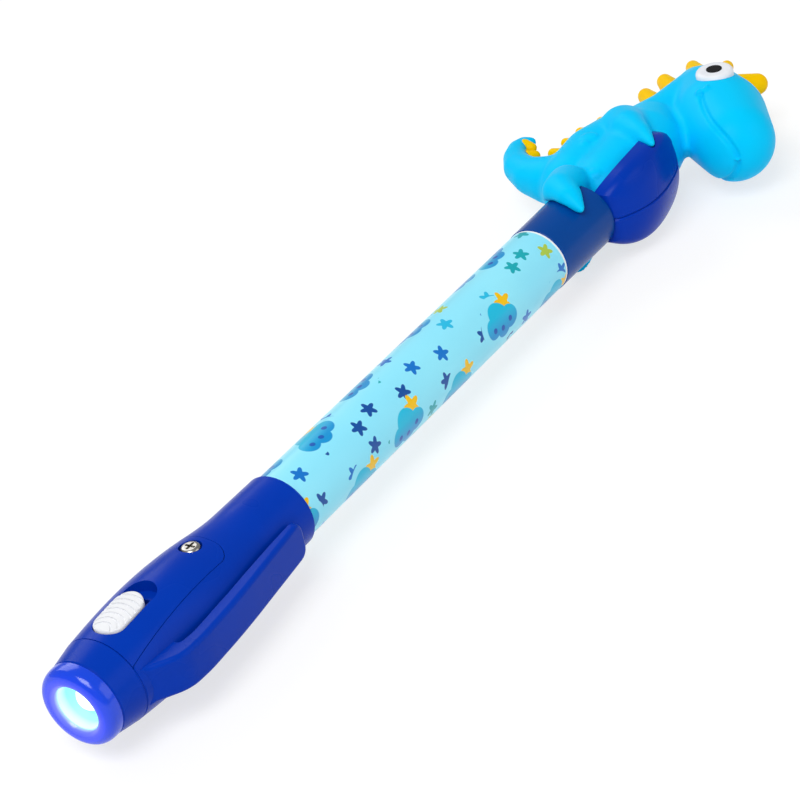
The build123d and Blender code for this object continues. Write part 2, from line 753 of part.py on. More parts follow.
# Shell, drawn whole and cut to fit the figure and its peg
with BuildPart() as shell_form:
    for share, keel, width in SHELL_STATIONS:
        half_width = width * SHELL_WIDTH / 2
        keel_y = -keel * SHELL_KEEL
        corner_y = keel_y + SHELL_FACE_R - sqrt(SHELL_FACE_R**2 - half_width**2)
        back_y = corner_y + SHELL_RIM
        with BuildSketch(Plane.YZ.offset(share * SHELL_LENGTH)):
            with BuildLine():
                face = ThreePointArc((corner_y, -half_width), (keel_y, 0), (corner_y, half_width))
                Polyline(face @ 1, (back_y, half_width), (back_y, -half_width), face @ 0)
            make_face()
    loft()
    fillet(shell_form.faces().sort_by(Axis.Y)[0].edges(), SHELL_EDGE_R)
    for link in chain(LOBE_STATIONS):
        add(link)
        mirror(link, about=Plane.XY)
    add(figure_form.part, mode=Mode.SUBTRACT)
    add(round_rod(0, PEG_LENGTH + FIT, PEG_D / 2 + FIT), mode=Mode.SUBTRACT)


def keel_edges(half):
    """The outer edge of a shell half, along the middle plane where it meets the other one."""
    outer = half.faces().filter_by(Plane.XY, reverse=True).edges()
    level = outer.filter_by(lambda edge: edge.bounding_box().size.Z < PRESS)
    return level.filter_by(lambda edge: abs(edge.center().Z) < PRESS).group_by(Axis.Y)[0]


# The topper's pieces are set on the ferrule, and the shell is parted in its middle plane
with BuildPart() as figure:
    add(Pos(x_ferrule_top, 0, 0) * figure_form.part)
figure.part.label = "figure"
export_step(figure.part, "parts/figure.step")

with BuildPart() as spikes:
    add(Pos(x_ferrule_top, 0, 0) * spikes_form.part)
spikes.part.label = "spikes"
export_step(spikes.part, "parts/spikes.step")

with BuildPart() as shell_left:
    add(Pos(x_ferrule_top, 0, 0) * shell_form.part)
    split(bisect_by=Plane.XY, keep=Keep.TOP)
    chamfer(keel_edges(shell_left), SHELL_SEAM)
shell_left.part.label = "shell_left"
export_step(shell_left.part, "parts/shell_left.step")

with BuildPart() as shell_right:
    add(Pos(x_ferrule_top, 0, 0) * shell_form.part)
    split(bisect_by=Plane.XY, keep=Keep.BOTTOM)
    chamfer(keel_edges(shell_right), SHELL_SEAM)
shell_right.part.label = "shell_right"
export_step(shell_right.part, "parts/shell_right.step")

# Eyes: a white disc on each flank of the head, with a black pupil let into it
eye_spot = (x_ferrule_top + EYE_ALONG, EYE_ACROSS)
with BuildPart() as pupils:
    with BuildSketch(Plane.XY.offset(EYE_TOP_Z - PUPIL_DEPTH)):
        with Locations(eye_spot):
            Circle(PUPIL_D / 2)
    extrude(amount=PUPIL_DEPTH + PUPIL_RISE)
    mirror(about=Plane.XY)
pupils.part.label = "pupils"
export_step(pupils.part, "parts/pupils.step")

with BuildPart() as eye_whites:
    with BuildSketch(Plane.XY.offset(EYE_ROOT_Z)):
        with Locations(eye_spot):
            Circle(EYE_D / 2)
    extrude(amount=EYE_TOP_Z - EYE_ROOT_Z)
    fillet(eye_whites.edges().group_by(Axis.Z)[-1], EYE_EDGE_R)
    mirror(about=Plane.XY)
    add(figure.part, mode=Mode.SUBTRACT)
    add(pupils.part, mode=Mode.SUBTRACT)
eye_whites.part.label = "eye_whites"
export_step(eye_whites.part, "parts/eye_whites.step")
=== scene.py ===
"""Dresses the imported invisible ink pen: soft topper, printed film, moulded plastic and a lit lamp."""

import math

import bpy
from mathutils import Matrix, Vector


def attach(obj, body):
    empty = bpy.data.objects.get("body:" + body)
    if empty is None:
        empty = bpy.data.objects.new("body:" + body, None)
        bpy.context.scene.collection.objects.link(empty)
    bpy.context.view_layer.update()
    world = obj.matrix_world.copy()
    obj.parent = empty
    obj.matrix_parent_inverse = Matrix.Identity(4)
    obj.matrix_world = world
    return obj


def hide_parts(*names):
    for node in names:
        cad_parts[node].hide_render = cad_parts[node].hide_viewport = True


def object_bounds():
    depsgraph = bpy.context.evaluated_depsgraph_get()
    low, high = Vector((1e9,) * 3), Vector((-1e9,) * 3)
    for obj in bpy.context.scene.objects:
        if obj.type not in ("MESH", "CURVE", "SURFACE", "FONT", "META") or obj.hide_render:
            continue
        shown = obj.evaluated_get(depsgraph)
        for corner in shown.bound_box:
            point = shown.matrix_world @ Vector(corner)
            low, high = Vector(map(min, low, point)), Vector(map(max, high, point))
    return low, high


MM = 0.001
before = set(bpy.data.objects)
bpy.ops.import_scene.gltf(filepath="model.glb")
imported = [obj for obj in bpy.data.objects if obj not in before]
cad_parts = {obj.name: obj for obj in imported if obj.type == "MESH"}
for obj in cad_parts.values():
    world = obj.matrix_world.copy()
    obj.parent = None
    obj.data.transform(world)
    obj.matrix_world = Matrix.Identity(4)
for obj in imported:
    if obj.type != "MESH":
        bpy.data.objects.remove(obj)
cad_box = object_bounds()
bpy.ops.object.select_all(action="DESELECT")

# Camera of the photograph: where it stands, the way back from the pen and its tilt about the view
CAMERA_AT = Vector((-325.94, -266.45, 247.84)) * MM
CAMERA_BACK = Vector((-0.66088, -0.54868, 0.51204))
CAMERA_ROLL = math.radians(-12.6)
CAMERA_LENS = 135.0
CAMERA_SENSOR = 36.0

# Studio: the floor's breadth and the light it gives the eye, and the strength of the white surround
FLOOR_BREADTH = 4.0
FLOOR_LIFT = 0.7
SURROUND = 0.34

# Meshes: how near corners are merged, and how sharp an edge stays when faces are smoothed
MERGE = 1e-6
SHARP = math.radians(30)
CLIP_SHARP = math.radians(35)

# Soft topper: voxel sizes of its remeshes, how far its creases are filled, its smile's groove, the far
# limbs' places before and after they are drawn in, and its raised spots with their radii
BODY_VOXEL = 0.4 * MM
SKIN_VOXEL = 0.3 * MM
CREASE_FILL = 0.45 * MM
GROOVE_R = 0.55 * MM
SMILE = (
    (90.1, -6.6, 8.3),
    (88.9, -6.3, 7.8),
    (87.0, -7.2, 7.2),
    (83.8, -9.9, 6.4),
    (81.1, -13.5, 5.1),
    (80.4, -16.0, 3.4),
    (80.2, -17.2, 1.6),
    (80.2, -17.4, 0.0),
)
TUCKS = (
    ((48.6, -3.8, -6.2), (53.0, -0.6, -6.8)),
    ((69.2, -6.6, -7.5), (69.8, -3.6, -7.5)),
)
TUCK_REACH = 6.5 * MM
SPOTS = (
    ((70.5, 6.6, 6.0), (1.6, 1.3, 0.35)),
    ((68.6, 6.4, 6.0), (0.8, 0.8, 0.3)),
    ((60.4, -0.2, 5.7), (1.3, 1.0, 0.35)),
)
DIMPLE = ((88.5, -5.6, 7.6), (89.2, -6.5, 7.9), (90.2, -7.4, 8.2))

# Printed film, in mm: barrel radius, the spacing of its two sizes of motif and their parts
BARREL_R = 6.0
BIG_PITCH = 14.5
SMALL_PITCH = 6.0
CLOUD_PUFFS = ((-2.6, -0.4, 1.8), (-0.4, 1.0, 2.4), (2.3, -0.1, 2.0), (0.0, -1.1, 1.8))
CLOUD_DOTS = ((-2.4, -0.8, 0), (-0.2, -1.2, 0), (2.2, -0.5, 0))
CLOUD_DOT_R = 0.5
CLOUD_MARGIN = 1.4
STAR_AT = (2.2, 2.6, 0)
STAR_R = 1.5
BLOSSOM_R = 1.15
PETALS = 5.0
PETAL_DEPTH = 0.32
PRINT_BLUR = 0.06
WHITE_EDGE_FROM = 38.55

# Packed clip, in mm: the cap's side, half the clip's width, its root and the line under its free run
CAP_SIDE_Y = -6.5
PACKED_HALF = 2.95
PACKED_ROOT_FROM = -83.0
PACKED_ROOT_TO = -75.6
PACKED_ROOT_Y = -9.0
PACKED_RUN_FROM = -75.8
PACKED_RUN_SLOPE = 0.08
PACKED_RUN_Y = -3.26

# Pocket clip, in mm: its outline from the side, half its width, the rounding of its tip and of its back,
# where it leaves the cap and stands free, and the line midway through its free run
CLIP_OUTLINE = (
    (-83.3, -6.6, "AUTO"),
    (-80.7, -8.8, "AUTO"),
    (-77.8, -10.6, "AUTO"),
    (-74.5, -11.05, "AUTO"),
    (-69.0, -10.85, "AUTO"),
    (-61.4, -10.2, "AUTO"),
    (-54.6, -9.35, "AUTO"),
    (-48.0, -8.52, "VECTOR"),
    (-43.6, -7.94, "VECTOR"),
    (-43.6, -6.77, "VECTOR"),
    (-50.0, -7.1, "VECTOR"),
    (-57.0, -7.65, "AUTO"),
    (-66.0, -8.42, "AUTO"),
    (-74.6, -8.75, "AUTO"),
    (-75.7, -8.3, "AUTO"),
    (-75.8, -7.1, "VECTOR"),
    (-83.3, -6.4, "VECTOR"),
)
CLIP_HALF = 3.2
CLIP_TIP_X = -43.7
CLIP_TIP_ROUND = 2.0
CLIP_ROUND = 0.75
CLIP_STEPS = 6
CLIP_STRAIGHT = math.radians(0.2)
CLIP_LEAVES_Y = -7.2
CLIP_FREE_FROM = -76.0
CLIP_MID_SLOPE = 0.0833
CLIP_MID_Y = -3.69

# Lamp: how far from the pen's axis its glow is drawn
GLOW_REACH = 7.0


def linear(code):
    """An sRGB hex colour as the linear colour that a shader takes."""
    parts = [int(code[i : i + 2], 16) / 255 for i in (1, 3, 5)]
    return [c / 12.92 if c <= 0.04045 else ((c + 0.055) / 1.055) ** 2.4 for c in parts] + [1.0]


def add(tree, kind, feeds=(), stops=(), **settings):
    """Adds a node with its settings, the links or values of its inputs and the stops of its ramp."""
    made = tree.nodes.new(kind)
    for name, value in settings.items():
        setattr(made, name, value)
    for count, (spot, code) in enumerate(stops):
        ramp = made.color_ramp.elements
        stop = ramp[count] if count < 2 else ramp.new(spot)
        stop.position = spot
        stop.color = linear(code)
    for key, value in dict(feeds).items():
        if isinstance(value, bpy.types.NodeSocket):
            tree.links.new(value, made.inputs[key])
        else:
            made.inputs[key].default_value = value
    return made


def new_material(name):
    """An empty node material and its shader, already joined to the output."""
    made = bpy.data.materials.new(name)
    made.use_nodes = True
    tree = made.node_tree
    tree.nodes.clear()
    shader = add(tree, "ShaderNodeBsdfPrincipled")
    add(tree, "ShaderNodeOutputMaterial", {"Surface": shader.outputs[0]})
    return made, tree, shader


def moulded(name, colour, dark, roughness, mottle_mm, grain_mm, grain, sheen=0.12, carried=None):
    """A moulded piece: a faint drift of colour, uneven gloss and the grain of the tool. Soft stuff also
    carries red, green and blue light some millimetres under its skin."""
    made, tree, shader = new_material(name)
    place = add(tree, "ShaderNodeTexCoord").outputs["Object"]
    drift = add(tree, "ShaderNodeTexNoise", {"Vector": place, "Scale": 1 / (mottle_mm * MM), "Detail": 2.0})
    tone = add(
        tree,
        "ShaderNodeMix",
        {0: drift.outputs["Fac"], 6: linear(dark), 7: linear(colour)},
        data_type="RGBA",
    )
    gloss = add(
        tree,
        "ShaderNodeMapRange",
        {"Value": drift.outputs["Fac"], "To Min": roughness * 0.8, "To Max": roughness * 1.2},
    )
    skin = add(tree, "ShaderNodeTexNoise", {"Vector": place, "Scale": 1 / (grain_mm * MM), "Detail": 3.0})
    bump = add(
        tree,
        "ShaderNodeBump",
        {"Height": skin.outputs["Fac"], "Strength": grain, "Distance": 0.05 * MM},
    )
    tree.links.new(tone.outputs[2], shader.inputs["Base Color"])
    tree.links.new(gloss.outputs[0], shader.inputs["Roughness"])
    tree.links.new(bump.outputs[0], shader.inputs["Normal"])
    shader.inputs["Specular IOR Level"].default_value = sheen
    if carried:
        shader.inputs["Subsurface Weight"].default_value = 0.12
        shader.inputs["Subsurface Radius"].default_value = carried
        shader.inputs["Subsurface Scale"].default_value = MM
    return made


def metal(name, colour, dark, roughness, scuff_mm):
    """A plated metal piece: streaks of wear that dull its shine."""
    made, tree, shader = new_material(name)
    place = add(tree, "ShaderNodeTexCoord").outputs["Object"]
    wear = add(tree, "ShaderNodeTexNoise", {"Vector": place, "Scale": 1 / (scuff_mm * MM), "Detail": 4.0})
    tone = add(
        tree,
        "ShaderNodeMix",
        {0: wear.outputs["Fac"], 6: linear(dark), 7: linear(colour)},
        data_type="RGBA",
    )
    gloss = add(
        tree,
        "ShaderNodeMapRange",
        {"Value": wear.outputs["Fac"], "To Min": roughness * 1.5, "To Max": roughness * 0.6},
    )
    tree.links.new(tone.outputs[2], shader.inputs["Base Color"])
    tree.links.new(gloss.outputs[0], shader.inputs["Roughness"])
    shader.inputs["Metallic"].default_value = 1.0
    return made


# Gloss ABS, injection moulded: deep even colour, sharp soft-edged highlights
royal_blue = moulded("royal_blue_abs", "#003AB4", "#0032A4", 0.28, 14.0, 0.5, 0.06, 0.075)
navy = moulded("navy_abs", "#004698", "#00408E", 0.24, 14.0, 0.6, 0.05)
# Soft vinyl, rotation moulded: satin, with a little light carried under its skin
cyan_vinyl = moulded(
    "cyan_vinyl", "#00CEFF", "#00C6FF", 0.42, 10.0, 0.6, 0.08, 0.045, carried=(0.6, 1.2, 2.0)
)
yellow_vinyl = moulded(
    "yellow_vinyl", "#FFD000", "#FFC600", 0.4, 4.0, 0.5, 0.08, 0.04, carried=(2.0, 1.2, 0.4)
)
# Gloss enamel, dabbed on: white with a bluish cast, and a wet-looking black
eye_enamel = moulded("white_enamel", "#F4F6FA", "#E6EAF2", 0.22, 3.0, 0.8, 0.05)
pupil_enamel = moulded("black_enamel", "#18181B", "#0E0E10", 0.16, 2.0, 0.8, 0.05)
# Satin ABS: off-white, softly lit ribs
button_abs = moulded("off_white_abs", "#ECEDF0", "#E4E6EA", 0.38, 5.0, 0.4, 0.08)
tube_abs = moulded("white_abs_tube", "#F2F6F8", "#E4ECF0", 0.3, 8.0, 0.5, 0.05)
nose_abs = moulded("white_abs_nose", "#EDEFF2", "#E0E4E8", 0.32, 6.0, 0.5, 0.05)
# Nickel plate over steel: bright grey with dull streaks
screw_nickel = metal("nickel_plated_steel", "#C9C6C0", "#8E8B86", 0.24, 0.5)
contact_nickel = metal("nickel_strip", "#C4C3BC", "#9C9A93", 0.3, 0.7)
cell_nickel = metal("nickel_cell_can", "#CFCFCC", "#A8A8A4", 0.22, 1.5)
# Pressed fibre: dull and fuzzy, drawn a little coarser than it is so that it shows
nib_fibre = moulded("pressed_fibre_nib", "#F4F2E6", "#DAD6C4", 0.9, 1.0, 0.15, 0.5)
filler_fibre = moulded("fibre_filler", "#EDEBE4", "#D8D5CB", 0.9, 2.0, 0.25, 0.5)
# Circuit laminate: green solder mask with a faint weave beneath
board_mask = moulded("green_solder_mask", "#1E6B3A", "#17552E", 0.35, 1.2, 0.4, 0.15)


def printed_film():
    """Gloss shrink film, printed: clouds with a star, and blossoms, on pale sky blue."""
    made, tree, shader = new_material("printed_shrink_film")

    # The film laid flat: millimetres along the barrel and around it, with the seam underneath
    place = add(tree, "ShaderNodeSeparateXYZ", {0: add(tree, "ShaderNodeTexCoord").outputs["Object"]})
    along = add(tree, "ShaderNodeMath", {0: place.outputs["X"], 1: MM}, operation="DIVIDE").outputs[0]
    turn = add(
        tree, "ShaderNodeMath", {0: place.outputs["Y"], 1: place.outputs["Z"]}, operation="ARCTAN2"
    )
    around = add(tree, "ShaderNodeMath", {0: turn.outputs[0], 1: BARREL_R}, operation="MULTIPLY")
    flat = add(tree, "ShaderNodeCombineXYZ", {0: along, 1: around.outputs[0]}).outputs[0]

    def scattered(pitch, stray, swing):
        """Places motifs on loose cells; gives each spot seen from its motif, and three random draws."""
        cells = add(
            tree,
            "ShaderNodeTexVoronoi",
            {"Vector": flat, "Scale": 1 / pitch, "Randomness": stray},
            voronoi_dimensions="2D",
        )
        draws = add(tree, "ShaderNodeSeparateColor", {0: cells.outputs["Color"]}).outputs
        away = add(
            tree, "ShaderNodeVectorMath", {0: flat, 1: cells.outputs["Position"]}, operation="SUBTRACT"
        )
        angle = add(
            tree, "ShaderNodeMapRange", {"Value": draws[0], "To Min": -swing, "To Max": swing}
        )
        spot = add(
            tree,
            "ShaderNodeVectorRotate",
            {"Vector": away.outputs[0], "Angle": angle.outputs[0]},
            rotation_type="Z_AXIS",
        )
        return spot.outputs[0], draws

    def petals(spot, centre, radius):
        """How far a spot is outside a rounded star or blossom, in millimetres."""
        away = add(tree, "ShaderNodeVectorMath", {0: spot, 1: centre}, operation="SUBTRACT").outputs[0]
        reach = add(tree, "ShaderNodeVectorMath", {0: away}, operation="LENGTH").outputs["Value"]
        parts = add(tree, "ShaderNodeSeparateXYZ", {0: away}).outputs
        turn = add(tree, "ShaderNodeMath", {0: parts[0], 1: parts[1]}, operation="ARCTAN2")
        turns = add(tree, "ShaderNodeMath", {0: turn.outputs[0], 1: PETALS}, operation="MULTIPLY")
        wave = add(tree, "ShaderNodeMath", {0: turns.outputs[0]}, operation="COSINE")
        edge = add(
            tree,
            "ShaderNodeMath",
            {0: wave.outputs[0], 1: PETAL_DEPTH * radius, 2: radius},
            operation="MULTIPLY_ADD",
        )
        return add(tree, "ShaderNodeMath", {0: reach, 1: edge.outputs[0]}, operation="SUBTRACT").outputs[0]

    def ink(under, outside, colour):
        """Prints a colour wherever the distance outside its motif is below nothing."""
        edge = add(
            tree,
            "ShaderNodeMapRange",
            {"Value": outside, "From Min": PRINT_BLUR, "From Max": -PRINT_BLUR},
        )
        return add(
            tree, "ShaderNodeMix", {0: edge.outputs[0], 6: under, 7: colour}, data_type="RGBA"
        ).outputs[2]

    # Ground: pale blue that drifts a little, as print on a curved film does
    drift = add(tree, "ShaderNodeTexNoise", {"Vector": flat, "Scale": 1 / 16.0, "Detail": 1.0})
    tone = add(
        tree,
        "ShaderNodeMix",
        {0: drift.outputs["Fac"], 6: linear("#86E2FC"), 7: linear("#9AEEFF")},
        data_type="RGBA",
    ).outputs[2]

    # Blossoms: small, in blues and teal, kept clear of the clouds
    big_spot, _ = scattered(BIG_PITCH, 0.45, 0.5)
    puffs = None
    for centre_x, centre_y, radius in CLOUD_PUFFS:
        reach = add(
            tree,
            "ShaderNodeVectorMath",
            {0: big_spot, 1: (centre_x, centre_y, 0)},
            operation="DISTANCE",
        ).outputs["Value"]
        puff = add(tree, "ShaderNodeMath", {0: reach, 1: radius}, operation="SUBTRACT").outputs[0]
        if puffs:
            puff = add(tree, "ShaderNodeMath", {0: puffs, 1: puff}, operation="MINIMUM").outputs[0]
        puffs = puff
    small_spot, small_draw = scattered(SMALL_PITCH, 0.75, 3.1)
    blossom = petals(small_spot, (0, 0, 0), BLOSSOM_R)
    clear = add(tree, "ShaderNodeMath", {0: CLOUD_MARGIN, 1: puffs}, operation="SUBTRACT").outputs[0]
    shown = add(tree, "ShaderNodeMath", {0: blossom, 1: clear}, operation="MAXIMUM").outputs[0]
    hue = add(
        tree,
        "ShaderNodeValToRGB",
        {0: small_draw[2]},
        ((0.0, "#0B4E9E"), (0.3, "#0A74CC"), (0.55, "#0FA9B4"), (0.8, "#22BCE4"), (0.93, "#AFCB4A")),
    )
    hue.color_ramp.interpolation = "CONSTANT"
    tone = ink(tone, shown, hue.outputs[0])

    # Clouds: turquoise with a deeper foot, and a yellow star over one shoulder
    star = petals(big_spot, STAR_AT, STAR_R)
    tone = ink(tone, star, linear("#F8C400"))
    lift = add(tree, "ShaderNodeSeparateXYZ", {0: big_spot}).outputs[1]
    foot = add(
        tree, "ShaderNodeMapRange", {"Value": lift, "From Min": -1.6, "From Max": 1.2}
    ).outputs[0]
    cloud_tone = add(
        tree, "ShaderNodeMix", {0: foot, 6: linear("#0A93D4"), 7: linear("#12BEE2")}, data_type="RGBA"
    ).outputs[2]
    tone = ink(tone, puffs, cloud_tone)
    for centre in CLOUD_DOTS:
        reach = add(
            tree, "ShaderNodeVectorMath", {0: big_spot, 1: centre}, operation="DISTANCE"
        ).outputs["Value"]
        dot = add(tree, "ShaderNodeMath", {0: reach, 1: CLOUD_DOT_R}, operation="SUBTRACT").outputs[0]
        tone = ink(tone, dot, linear("#0B57B4"))

    # The film stops short of the ferrule and shows a white edge
    bare = add(
        tree,
        "ShaderNodeMapRange",
        {"Value": along, "From Min": WHITE_EDGE_FROM, "From Max": WHITE_EDGE_FROM + 0.1},
    ).outputs[0]
    tone = add(
        tree, "ShaderNodeMix", {0: bare, 6: tone, 7: linear("#F4FAFC")}, data_type="RGBA"
    ).outputs[2]
    tree.links.new(tone, shader.inputs["Base Color"])

    # Shrinking leaves the film slightly wavy, which breaks up its highlight
    wave = add(tree, "ShaderNodeTexNoise", {"Vector": flat, "Scale": 1 / 5.0, "Detail": 1.0})
    bump = add(
        tree, "ShaderNodeBump", {"Height": wave.outputs["Fac"], "Strength": 0.12, "Distance": 0.1 * MM}
    )
    tree.links.new(bump.outputs[0], shader.inputs["Normal"])
    shader.inputs["Roughness"].default_value = 0.28
    shader.inputs["Specular IOR Level"].default_value = 0.35
    return made


def glow(name, base, roughness, rings):
    """A piece that gives off light: its emission has a colour for each distance from the pen's axis, in mm.
    On the lamp's own dome this is the lamp; on the bezel and the reflector it is painted glow, the lamp's
    light painted on.
    """
    made, tree, shader = new_material(name)
    place = add(tree, "ShaderNodeSeparateXYZ", {0: add(tree, "ShaderNodeTexCoord").outputs["Object"]})
    across = add(tree, "ShaderNodeCombineXYZ", {0: place.outputs["Y"], 1: place.outputs["Z"]})
    radius = add(tree, "ShaderNodeVectorMath", {0: across.outputs[0]}, operation="LENGTH")
    share = add(
        tree,
        "ShaderNodeMapRange",
        {"Value": radius.outputs["Value"], "From Max": GLOW_REACH * MM},
    )
    light = add(
        tree,
        "ShaderNodeValToRGB",
        {0: share.outputs[0]},
        [(radius_mm / GLOW_REACH, code) for radius_mm, code in rings],
    )
    tree.links.new(light.outputs[0], shader.inputs["Emission Color"])
    shader.inputs["Emission Strength"].default_value = 1.0
    shader.inputs["Base Color"].default_value = linear(base)
    shader.inputs["Roughness"].default_value = roughness
    return made


# Gloss blue ABS with painted glow: the lamp's light is painted on as emission, white at the lip, then
# violet that sinks into the blue
bezel_painted_glow = glow(
    "blue_abs_painted_glow",
    "#0040D4",
    0.16,
    ((3.7, "#BFDCFF"), (3.95, "#7A76F8"), (4.6, "#4034D8"), (5.6, "#140F80"), (6.6, "#000430")),
)
# Reflector, vacuum plated, with painted glow: the lamp's light is painted on as emission, pale cyan that
# whitens round the lamp, painted shade on the walls midway, and a painted highlight at the lip
cup_painted_glow = glow(
    "reflector_painted_glow",
    "#9FDCEA",
    0.3,
    ((2.6, "#A8ECF4"), (2.9, "#4C98AC"), (3.5, "#3C8498"), (3.72, "#B4F4FC")),
)
# Clear epoxy dome, lit: burnt-out white
lens_lit = glow("lit_epoxy_lens", "#FFFFFF", 0.1, ((1.6, "#FFFFFF"), (2.5, "#C8F4FC")))


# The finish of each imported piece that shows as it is
FINISHES = {
    "barrel_tube": tube_abs,
    "printed_sleeve": printed_film(),
    "nib_section": nose_abs,
    "felt_nib": nib_fibre,
    "ink_reservoir": filler_fibre,
    "tail_ferrule": navy,
    "shell_left": royal_blue,
    "shell_right": royal_blue,
    "spikes": yellow_vinyl,
    "eye_whites": eye_enamel,
    "pupils": pupil_enamel,
    "front_collar": royal_blue,
    "lens_bezel": bezel_painted_glow,
    "reflector_cup": cup_painted_glow,
    "uv_led": lens_lit,
    "led_board": board_mask,
    "front_contact": contact_nickel,
    "button_cells": cell_nickel,
    "rear_contact": contact_nickel,
    "battery_door": royal_blue,
    "door_screw": screw_nickel,
    "switch_button": button_abs,
    "switch_wiper": contact_nickel,
}
for node_name, finish in FINISHES.items():
    node_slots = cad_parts[node_name].data.materials
    node_slots.clear()
    node_slots.append(finish)


def take(piece):
    """Makes a piece the only one that operators act on."""
    bpy.ops.object.select_all(action="DESELECT")
    piece.select_set(True)
    bpy.context.view_layer.objects.active = piece


def apply(piece, kind, **settings):
    """Adds a modifier and applies it."""
    take(piece)
    modifier = piece.modifiers.new(kind.lower(), kind)
    for name, value in settings.items():
        setattr(modifier, name, value)
    bpy.ops.object.modifier_apply(modifier=modifier.name)


def copy_of(node, name):
    """A copy of a CAD node's mesh, with its loose triangles joined."""
    piece = bpy.data.objects.new(name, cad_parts[node].data.copy())
    bpy.context.scene.collection.objects.link(piece)
    take(piece)
    bpy.ops.object.mode_set(mode="EDIT")
    bpy.ops.mesh.select_all(action="SELECT")
    bpy.ops.mesh.remove_doubles(threshold=MERGE)
    bpy.ops.object.mode_set(mode="OBJECT")
    return piece


def smooth_remesh(piece, voxel, steps):
    """Gives a piece even small faces and softens them."""
    apply(piece, "REMESH", mode="VOXEL", voxel_size=voxel, use_smooth_shade=True)
    apply(piece, "SMOOTH", factor=0.5, iterations=steps)


# Topper skin: the figure's forms run into one another as in one soft moulding. Swelling it, joining
# what then meets and drawing it in again fills its creases and leaves its round forms as they were
dino_skin = copy_of("figure", "dino_skin")
smooth_remesh(dino_skin, BODY_VOXEL, 2)
apply(dino_skin, "DISPLACE", strength=CREASE_FILL, mid_level=0.0)
smooth_remesh(dino_skin, BODY_VOXEL, 2)
apply(dino_skin, "DISPLACE", strength=-CREASE_FILL, mid_level=0.0)
smooth_remesh(dino_skin, SKIN_VOXEL, 8)


def groove(name, path):
    """A round tool that follows a path laid on the topper's skin, and its mirror image."""
    curve = bpy.data.curves.new(name, "CURVE")
    curve.dimensions = "3D"
    line = curve.splines.new("NURBS")
    line.points.add(len(path) - 1)
    for point, spot in zip(line.points, path):
        point.co = [length * MM for length in spot] + [1.0]
    line.use_endpoint_u = True
    tool = bpy.data.objects.new(name, curve)
    bpy.context.scene.collection.objects.link(tool)
    take(tool)
    bpy.ops.object.convert(target="MESH")
    apply(tool, "SHRINKWRAP", target=dino_skin)
    bpy.ops.object.convert(target="CURVE")
    tool.data.bevel_depth = GROOVE_R
    tool.data.use_fill_caps = True
    bpy.ops.object.convert(target="MESH")
    apply(tool, "MIRROR", use_axis=(False, False, True))
    return tool


def carve(piece, tool, kind):
    """Joins a tool to a piece or cuts it out, and puts the tool away."""
    apply(piece, "BOOLEAN", object=tool, operation=kind, solver="EXACT")
    bpy.data.objects.remove(tool)


def spot(place, radii):
    """A low round spot on the topper's skin, and its mirror image."""
    _, middle, outward, _ = dino_skin.closest_point_on_mesh(Vector(place) * MM)
    bpy.ops.object.select_all(action="DESELECT")
    bpy.ops.mesh.primitive_uv_sphere_add(
        segments=32,
        ring_count=16,
        radius=MM,
        location=middle,
        rotation=outward.to_track_quat("Z", "Y").to_euler(),
        scale=radii,
    )
    bpy.ops.object.transform_apply()
    tool = bpy.context.active_object
    apply(tool, "MIRROR", use_axis=(False, False, True))
    return tool


# The far foot and hand are drawn in behind the ferrule and the shell, where only their edges show
for start, end in TUCKS:
    marks = []
    for place in (start, end):
        bpy.ops.object.empty_add(location=Vector(place) * MM)
        marks.append(bpy.context.active_object)
    apply(dino_skin, "WARP", object_from=marks[0], object_to=marks[1], falloff_radius=TUCK_REACH)
    for mark in marks:
        bpy.data.objects.remove(mark)
for place, radii in SPOTS:
    carve(dino_skin, spot(place, radii), "UNION")
carve(dino_skin, groove("smile", SMILE), "DIFFERENCE")
carve(dino_skin, groove("dimple", DIMPLE), "DIFFERENCE")
smooth_remesh(dino_skin, SKIN_VOXEL, 2)
take(dino_skin)
bpy.ops.object.shade_smooth()
dino_skin.data.materials.clear()
dino_skin.data.materials.append(cyan_vinyl)
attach(dino_skin, "pen")
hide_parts("figure")

def on_packed_clip(face):
    """Whether a face of the cap is on its packed clip: the clip's sides, its root or its free run."""
    middle, outward = face.center / MM, face.normal
    if middle.x < PACKED_ROOT_FROM or middle.y > CAP_SIDE_Y or abs(middle.z) > PACKED_HALF:
        return False
    sideways = abs(outward.z) > 0.95
    upright = abs(outward.z) < 0.2
    leaning = abs(outward.x) > 0.3
    root = middle.x < PACKED_ROOT_TO and upright and (leaning or middle.y < PACKED_ROOT_Y)
    run = middle.x > PACKED_RUN_FROM and middle.y < PACKED_RUN_SLOPE * middle.x + PACKED_RUN_Y
    return sideways or root or run


# Cap skin: the cap without its packed clip, closed over where the clip's web stood
cap_skin = copy_of("cap_body", "cap_skin")
bpy.ops.mesh.customdata_custom_splitnormals_clear()
bpy.ops.object.mode_set(mode="EDIT")
bpy.ops.mesh.select_mode(type="FACE")
bpy.ops.mesh.select_all(action="DESELECT")
bpy.ops.object.mode_set(mode="OBJECT")
for face in cap_skin.data.polygons:
    face.select = on_packed_clip(face)
bpy.ops.object.mode_set(mode="EDIT")
bpy.ops.mesh.delete(type="FACE")
bpy.ops.mesh.select_mode(type="EDGE")
bpy.ops.mesh.select_non_manifold()
bpy.ops.mesh.fill()
bpy.ops.object.mode_set(mode="OBJECT")
bpy.ops.object.shade_smooth_by_angle(angle=SHARP)
apply(cap_skin, "WEIGHTED_NORMAL", keep_sharp=True)
cap_skin.data.materials.clear()
cap_skin.data.materials.append(royal_blue)
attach(cap_skin, "torch_cap")
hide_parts("cap_body")

def at_clip_tip(one, other):
    """Whether a clip's edge runs through its thickness at the tip."""
    return min(one.x, other.x) > CLIP_TIP_X and abs(one.y - other.y) > CLIP_ROUND


def on_clip_back(one, other):
    """Whether a clip's edge is on its back, clear of the cap and not under its free run."""
    middle = (one + other) / 2
    under = middle.x > CLIP_FREE_FROM and middle.y > CLIP_MID_SLOPE * middle.x + CLIP_MID_Y
    return middle.y < CLIP_LEAVES_Y and not under


